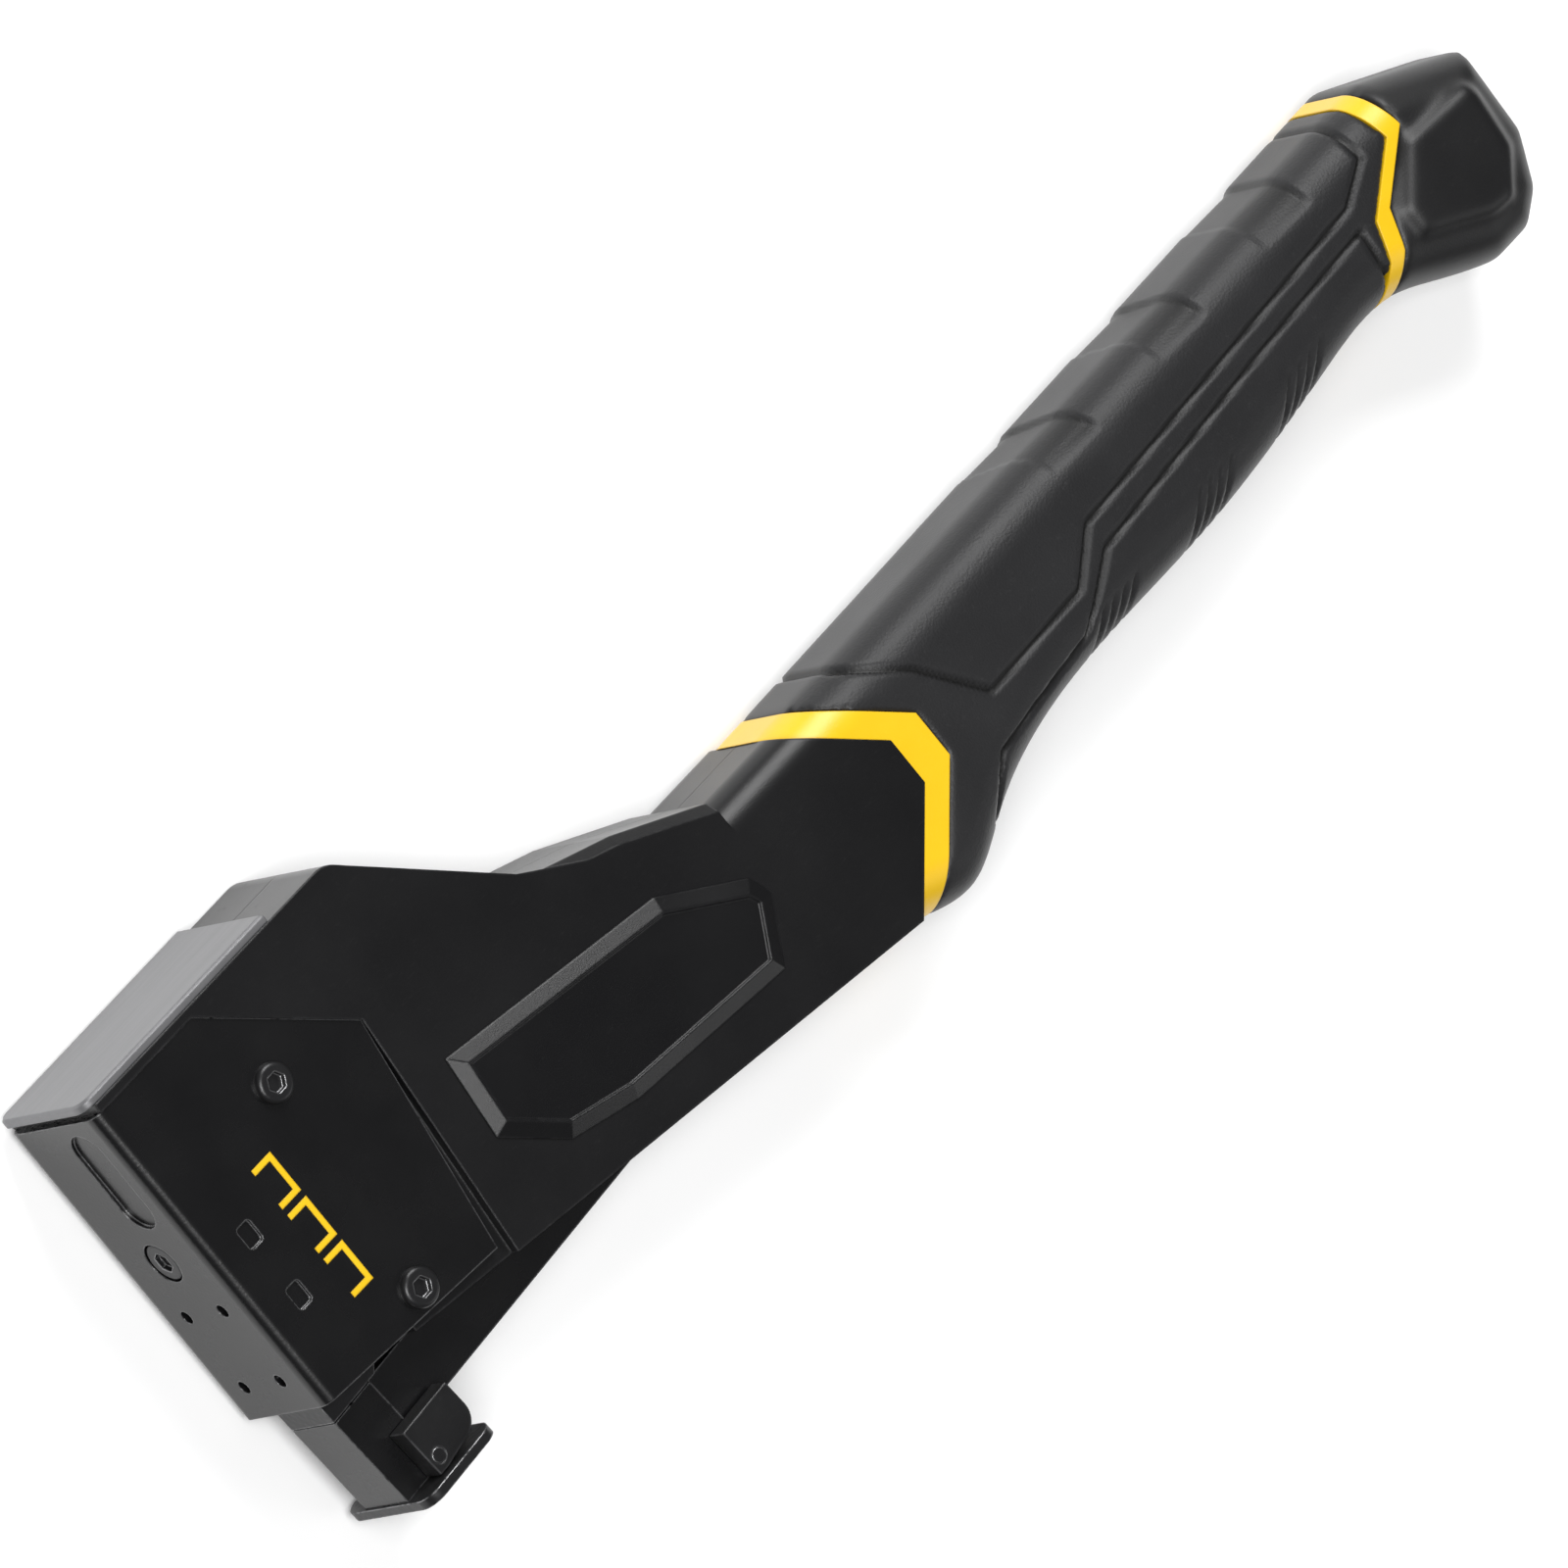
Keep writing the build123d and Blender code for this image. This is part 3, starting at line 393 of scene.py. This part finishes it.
steelPlans = {
    "black_steel": {"dark": (0.003, 0.003, 0.0034), "light": (0.005, 0.005, 0.0054), "metal": 0.0,
                    "rough": 0.27, "wear": 0.45, "peelScale": 1500.0, "peelDepth": 0.02 * mm,
                    "brushing": 0.0, "brushTurn": 0.0, "chipFrom": 0.3, "rounding": 0.5 * mm},
    "grey_steel": {"dark": (0.12, 0.12, 0.125), "light": (0.18, 0.18, 0.185), "metal": 0.5,
                   "rough": 0.38, "wear": 0.5, "peelScale": 1900.0, "peelDepth": 0.012 * mm,
                   "brushing": 0.10, "brushTurn": 0.0, "chipFrom": 0.5, "rounding": 0.5 * mm},
    "screw_black": {"dark": (0.010, 0.010, 0.011), "light": (0.02, 0.02, 0.021), "metal": 0.4,
                    "rough": 0.30, "wear": 0.9, "peelScale": 2400.0, "peelDepth": 0.015 * mm,
                    "brushing": 0.05, "brushTurn": 0.6, "chipFrom": 0.3, "rounding": 0.35 * mm},
    "cast_steel": {"dark": (0.012, 0.012, 0.013), "light": (0.022, 0.022, 0.023), "metal": 0.5,
                   "rough": 0.30, "wear": 0.9, "peelScale": 800.0, "peelDepth": 0.05 * mm,
                   "brushing": 0.08, "brushTurn": 1.5, "chipFrom": 0.35, "rounding": 0.5 * mm},
    "bright_steel": {"dark": (0.50, 0.50, 0.51), "light": (0.62, 0.62, 0.63), "metal": 1.0,
                     "rough": 0.24, "wear": 0.2, "peelScale": 1500.0, "peelDepth": 0.008 * mm,
                     "brushing": 0.16, "brushTurn": 0.066, "chipFrom": 0.5, "rounding": 0.3 * mm},
}
rubberPlans = {
    "grip_rubber": {"dark": (0.0075, 0.0075, 0.0082), "light": (0.0125, 0.0125, 0.0135),
                    "dust": (0.035, 0.035, 0.036), "rough": 0.48, "gloss": 0.36, "sheen": 0.05,
                    "stippleScale": 1900.0, "stippleDepth": 0.045 * mm, "rounding": 0.0,
                    "grooved": True},
    "bumper_rubber": {"dark": (0.010, 0.010, 0.010), "light": (0.018, 0.018, 0.018),
                      "dust": (0.05, 0.05, 0.05), "rough": 0.6, "gloss": 0.35, "sheen": 0.1,
                      "stippleScale": 1500.0, "stippleDepth": 0.05 * mm, "rounding": 0.6 * mm,
                      "grooved": False},
}
stripedPlans = {
    "spring_steel": {"dark": (0.34, 0.34, 0.35), "light": (0.48, 0.48, 0.49),
                     # between is the painted shade colour between turns and wires
                     "between": (0.01, 0.01, 0.01), "turn": 0.066, "axis": 0, "pitch": 2.1 * mm,
                     "gap": 0.25, "depth": 0.35 * mm},
    "staple_steel": {"dark": (0.52, 0.52, 0.53), "light": (0.66, 0.66, 0.67),
                     "between": (0.10, 0.10, 0.10), "turn": 0.066, "axis": 0, "pitch": 1.27 * mm,
                     "gap": 0.08, "depth": 0.12 * mm},
}

finishes = {}
for plans, recipe in ((plasticPlans, mouldedPlastic), (steelPlans, paintedSteel),
                      (rubberPlans, softRubber), (stripedPlans, stripedSteel)):
    for slot, plan in plans.items():
        finishes[slot] = recipe(slot, plan)
for row in frame["record"]["subparts"]:
    node = nodes[row["node"]]
    node.data.materials.clear()
    node.data.materials.append(finishes[row["material_slot"]])
print("finishes made:", len(finishes))


# copies of CAD skins, made dense enough to carry real relief
weldGap = 0.005 * mm
smoothing = 0.5


def skinCopy(nodeName, name, voxel):
    source = nodes[nodeName]
    mesh = source.data.copy()
    copy = bpy.data.objects.new(name, mesh)
    copy.matrix_world = source.matrix_world.copy()
    bpy.context.scene.collection.objects.link(copy)
    onlyActive(copy)
    bpy.ops.object.mode_set(mode="EDIT")
    bpy.ops.mesh.select_all(action="SELECT")
    bpy.ops.mesh.remove_doubles(threshold=weldGap)
    bpy.ops.object.mode_set(mode="OBJECT")
    settle(copy)
    addModifier(copy, "REMESH", mode="VOXEL", voxel_size=voxel, use_smooth_shade=True)
    return copy


def nearestOn(point, line):
    # shortest distance in X and Y from a point to a line of points
    best = 1.0
    for (ax, ay), (bx, by) in zip(line, line[1:]):
        dx, dy = bx - ax, by - ay
        part = ((point[0] - ax) * dx + (point[1] - ay) * dy) / (dx * dx + dy * dy)
        part = min(1.0, max(0.0, part))
        gap = math.hypot(point[0] - ax - dx * part, point[1] - ay - dy * part)
        best = min(best, gap)
    return best


def dip(distance, width):
    # 1 at the middle of a groove, 0 past its edge
    share = min(1.0, distance / width)
    return (1.0 - share * share) ** 2


# grip: three zones parted by grooves, finger steps over the top, slanted ribs under the belly
gripPlan = {
    "voxel": 0.75 * mm,
    "softening": 4,
    "middle": 16.0,
    "grooveWidth": 0.95 * mm,
    "grooveDepth": 1.15 * mm,
    "upperZone": [(-170, -30), (-177, -17), (-188, -7), (-198, 7), (-226, 6), (-236, -2),
                  (-321, -7), (-330, -12), (-331, -30)],
    "lowerZone": [(-317, 40), (-319, 10), (-320, -2), (-286, 0), (-236, 4), (-221, 14),
                  (-192, 17), (-184, 26), (-182, 40)],
    "fingerSteps": [(-315.5, 0.0), (-281.5, 0.12), (-247.5, 0.22)],
    "fingerLength": 13.0,
    "fingerReach": -12.5,
    "fingerDepth": 0.75 * mm,
    "fingerEdge": 0.8,
    "fingerFade": 2.5,
    "fingerShallow": 0.35,
    "ribGroups": [(-300.0, 6.0), (-270.0, 8.5), (-238.0, 11.5)],
    "ribCount": 4,
    "ribPitch": 3.2,
    "ribLean": 0.9,
    "ribDepth": 0.55 * mm,
    "ribWidth": 1.0 * mm,
    "ribFade": 1.5,
    "ribInner": 0.35,
}


def gripRelief(plan, x, y, z):
    # depth to press in, metres; x, y and z in millimetres
    side = (z - plan["middle"]) / plan["middle"]
    depth = 0.0
    for zone in (plan["upperZone"], plan["lowerZone"]):
        gap = nearestOn((x, y), zone) * mm
        depth = max(depth, plan["grooveDepth"] * dip(gap, plan["grooveWidth"]))
    for start, lean in plan["fingerSteps"]:
        along = x - start - lean * (plan["middle"] - z)
        if y < plan["fingerReach"] and -plan["fingerEdge"] < along < plan["fingerLength"]:
            fade = min(1.0, (plan["fingerReach"] - y) / plan["fingerFade"])
            if along > 0:
                slope = 1.0 - along / plan["fingerLength"]
                share = plan["fingerShallow"] + (1.0 - plan["fingerShallow"]) * slope
            else:
                share = 1.0 + along / plan["fingerEdge"]
            depth = max(depth, plan["fingerDepth"] * fade * share)
    for start, top in plan["ribGroups"]:
        for number in range(plan["ribCount"]):
            along = x - start - number * plan["ribPitch"] - plan["ribLean"] * (y - top)
            if y > top and abs(side) > plan["ribInner"]:
                fade = min(1.0, (y - top) / plan["ribFade"])
                depth = max(depth, plan["ribDepth"] * fade * dip(abs(along) * mm, plan["ribWidth"]))
    return depth


def pressRelief(piece, relief, plan):
    mesh = piece.data
    depths = [relief(plan, *(point.co / mm)) for point in mesh.vertices]
    shifts = [point.normal * -depth for point, depth in zip(mesh.vertices, depths)]
    for point, shift in zip(mesh.vertices, shifts):
        point.co += shift
    # how deep each point is pressed, kept for the painted shade in the grooves
    grooveShade = mesh.attributes.new("grooveShade", "FLOAT", "POINT")
    for slot, depth in zip(grooveShade.data, depths):
        slot.value = min(1.0, depth / plan["grooveDepth"])
    mesh.update()


gripSkin = skinCopy("grip_sleeve", "grip_skin", gripPlan["voxel"])
addModifier(gripSkin, "SMOOTH", factor=smoothing, iterations=gripPlan["softening"])
pressRelief(gripSkin, gripRelief, gripPlan)
gripSkin.data.materials.clear()
gripSkin.data.materials.append(finishes["grip_rubber"])
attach(gripSkin, "handle")
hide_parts("grip_sleeve")
print("grip made:", len(gripSkin.data.polygons), "faces")

# butt: moulded rubber end with its corners softened
buttPlan = {"voxel": 0.9 * mm, "softening": 7}
buttSkin = skinCopy("butt_cap", "butt_skin", buttPlan["voxel"])
addModifier(buttSkin, "SMOOTH", factor=smoothing, iterations=buttPlan["softening"])
buttSkin.data.materials.clear()
buttSkin.data.materials.append(finishes["butt_black"])
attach(buttSkin, "handle")
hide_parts("butt_cap")
print("butt made:", len(buttSkin.data.polygons), "faces")

# raised side panels: a wide slope up from the flank, a fine step down inside it
panelPlan = {
    "outline": [(-60.0, -22.0), (-115.0, -14.0), (-133.0, -3.0), (-135.0, 2.0), (-127.0, 14.5),
                (-86.0, 11.0), (-70.0, 7.0), (-58.0, -4.0)],
    "lip": 0.25,
    "slope": 3.1,
    "ledge": 0.33,
    "wall": 0.22,
    "stepDepth": 0.5,
    "softness": 0.22,
    "sharpest": 0.2,
}


def sidePanel(nodeName, name, plan, side):
    low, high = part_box(nodeName)
    foot, top = (low[2], high[2]) if side > 0 else (high[2], low[2])
    dropSelection()
    bpy.ops.mesh.primitive_circle_add(vertices=len(plan["outline"]), radius=0.02, fill_type="NGON")
    panel = bpy.context.object
    panel.name = name
    for point, (x, y) in zip(panel.data.vertices, plan["outline"]):
        point.co = Vector((x * mm, y * mm, foot))
    rise = abs(top - foot) - plan["lip"] * mm
    bpy.ops.object.mode_set(mode="EDIT")
    shape = bmesh.from_edit_mesh(panel.data)
    shape.faces.ensure_lookup_table()
    made = bmesh.ops.extrude_face_region(shape, geom=[shape.faces[0]], use_keep_orig=True)["geom"]
    bmesh.ops.translate(shape, vec=(0.0, 0.0, side * plan["lip"] * mm),
                        verts=[part for part in made if isinstance(part, bmesh.types.BMVert)])
    bmesh.ops.recalc_face_normals(shape, faces=shape.faces)
    raised = [max(shape.faces, key=lambda face: side * face.calc_center_median().z)]
    for run, lift in ((plan["slope"], rise), (plan["ledge"], 0.0), (plan["wall"], -plan["stepDepth"] * mm)):
        bmesh.ops.inset_region(shape, faces=raised, thickness=run * mm, depth=lift, use_even_offset=True)
    bmesh.ops.recalc_face_normals(shape, faces=shape.faces)
    bmesh.update_edit_mesh(panel.data)
    bpy.ops.object.mode_set(mode="OBJECT")
    addModifier(panel, "BEVEL", width=plan["softness"] * mm, segments=3, limit_method="ANGLE",
                angle_limit=plan["sharpest"])
    settle(panel)
    panel.data.materials.append(finishes["panel_black"])
    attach(panel, "handle")
    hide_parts(nodeName)


sidePanel("side_panel_near", "panel_skin_near", panelPlan, 1)
sidePanel("side_panel_far", "panel_skin_far", panelPlan, -1)
print("panels made")

# print on the near side plate: three staples, one above the other
markPlan = {
    "centre": (-14.5, -18.5),
    "crown": 9.6,
    "leg": 5.6,
    "wire": 1.3,
    "gap": 1.4,
    "thickness": 0.06,
    "count": 3,
    "softness": 0.35,
    "sharpest": 1.2,
    "sunk": 0.25,
}


def stapleMark(name, plan, row):
    dropSelection()
    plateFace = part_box("head_frame")[1][2]
    bpy.ops.mesh.primitive_grid_add(x_subdivisions=3, y_subdivisions=2, size=1.0, location=(0, 0, 0))
    mark = bpy.context.object
    mark.name = name
    half, wire = plan["crown"] / 2, plan["wire"]
    columns = (-half, -half + wire, half - wire, half)
    rows = (0.0, plan["leg"] - wire, plan["leg"])
    for point in mark.data.vertices:
        column = min(3, int(round((point.co.x + 0.5) * 3)))
        level = min(2, int(round((point.co.y + 0.5) * 2)))
        point.co = Vector((columns[column] * mm, rows[level] * mm, 0.0))
    bpy.ops.object.mode_set(mode="EDIT")
    bpy.ops.mesh.select_all(action="DESELECT")
    shape = bmesh.from_edit_mesh(mark.data)
    for face in shape.faces:
        middle = face.calc_center_median()
        face.select_set(abs(middle.x) < 0.5 * mm and middle.y < rows[1] * mm)
    bmesh.update_edit_mesh(mark.data)
    bpy.ops.mesh.delete(type="FACE")
    bpy.ops.object.mode_set(mode="OBJECT")
    addModifier(mark, "SOLIDIFY", thickness=plan["thickness"] * mm, offset=0.0)
    addModifier(mark, "BEVEL", width=plan["softness"] * mm, segments=3, limit_method="ANGLE",
                angle_limit=plan["sharpest"], affect="EDGES")
    mark.rotation_euler = (0.0, 0.0, math.pi / 2)
    offset = (row - (plan["count"] - 1) / 2) * (plan["crown"] + plan["gap"])
    mark.location = (plan["centre"][0] * mm, (plan["centre"][1] + offset) * mm,
                     plateFace + plan["thickness"] * plan["sunk"] * mm)
    settle(mark)
    mark.data.materials.append(finishes["yellow_plastic"])
    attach(mark, "handle")


for row in range(markPlan["count"]):
    stapleMark(f"staple_mark_{row + 1}", markPlan, row)
print("marks made")

# studio: pale floor, a soft light on the head's top side, a large one overhead, a weak one behind
studioPlan = {
    "floor": (0.93, 0.93, 0.93),
    "floorPale": (0.95, 0.95, 0.95),
    "floorSize": 8.0,
    "floorRough": 0.7,
    "speckScale": 30.0,
    "aim": (-0.18, 0.0, 0.0),
    "room": 0.11,
    "lights": {
        "side": {"at": (-0.78, -1.15, 1.05), "size": 0.9, "power": 27.0},
        "over": {"at": (0.9, -0.3, 2.2), "size": 1.2, "power": 62.0},
        "rear": {"at": (-0.9, 1.2, 1.0), "size": 0.8, "power": 3.0},
    },
}

dropSelection()
bpy.ops.mesh.primitive_plane_add(size=studioPlan["floorSize"], location=(0, 0, cadBox[0][2]))
floor = bpy.context.object
floor.name = "floor"
floorPaint = Finish("floorPaint")
speck = floorPaint.noise(studioPlan["speckScale"], 3.0)
floorPaint.set(Base_Color=floorPaint.tint(speck, studioPlan["floor"], studioPlan["floorPale"]))
floorPaint.set(Roughness=studioPlan["floorRough"])
floor.data.materials.append(floorPaint.material)

for name, plan in studioPlan["lights"].items():
    data = bpy.data.lights.new(name, "AREA")
    data.size = plan["size"]
    data.energy = plan["power"]
    lamp = bpy.data.objects.new(name, data)
    bpy.context.scene.collection.objects.link(lamp)
    lamp.location = plan["at"]
    sight = Vector(studioPlan["aim"]) - Vector(plan["at"])
    lamp.rotation_euler = sight.to_track_quat("-Z", "Y").to_euler()

room = bpy.data.worlds.new("room")
bpy.context.scene.world = room
room.use_nodes = True
backdrop = room.node_tree.nodes["Background"]
backdrop.inputs["Color"].default_value = (1.0, 1.0, 1.0, 1.0)
backdrop.inputs["Strength"].default_value = studioPlan["room"]
bpy.context.scene.view_settings.view_transform = "Standard"
print("studio set")
